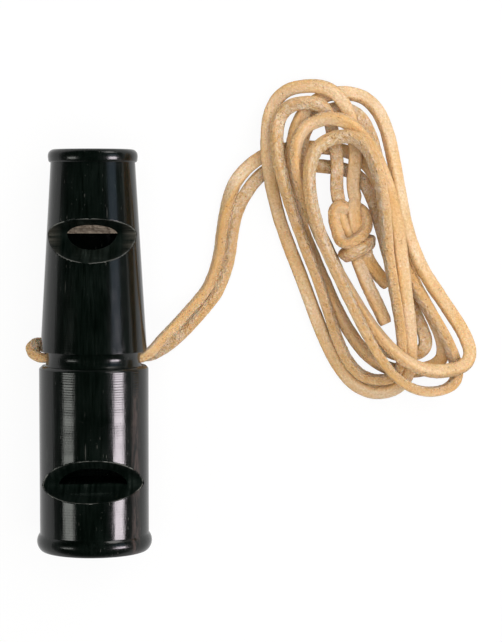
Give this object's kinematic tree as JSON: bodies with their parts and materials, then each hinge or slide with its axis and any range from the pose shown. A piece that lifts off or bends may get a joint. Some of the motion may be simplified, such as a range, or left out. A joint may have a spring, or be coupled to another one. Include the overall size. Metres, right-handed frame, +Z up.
{
  "type": "dog whistle",
  "caption": "Turned horn dog whistle that blows a different tone from each end, with a loose pea in its wider chamber and a doubled leather lace lanyard coiled beside it.",
  "frame": {"origin": "under the middle of the whistle, on the table that it lies on", "axes": "+X from the whistle to the hank of lace, +Y along the whistle towards its high-tone mouth, +Z up, out of the windows"},
  "size_m": [0.0903, 0.094, 0.023],
  "materials": {
    "horn": "polished",
    "cork": "matt",
    "lace": "natural"
  },
  "bodies": {
    "whistle": {"horn_body": "horn", "high_tone_block": "cork", "low_tone_block": "horn", "lanyard_waist_loop": "lace", "lanyard_lead_a": "lace", "lanyard_lead_b": "lace", "lanyard_hank_a": "lace", "lanyard_hank_b": "lace", "lanyard_knot": "lace", "lanyard_tail_a": "lace", "lanyard_tail_b": "lace"},
    "pea": {"cork_pea": "cork"}
  },
  "joints": [
    {"name": "pea_slide", "type": "slide", "parent": "whistle", "child": "pea", "axis": [0, -1, 0], "range_m": [0, 0.0097]}
  ]
}
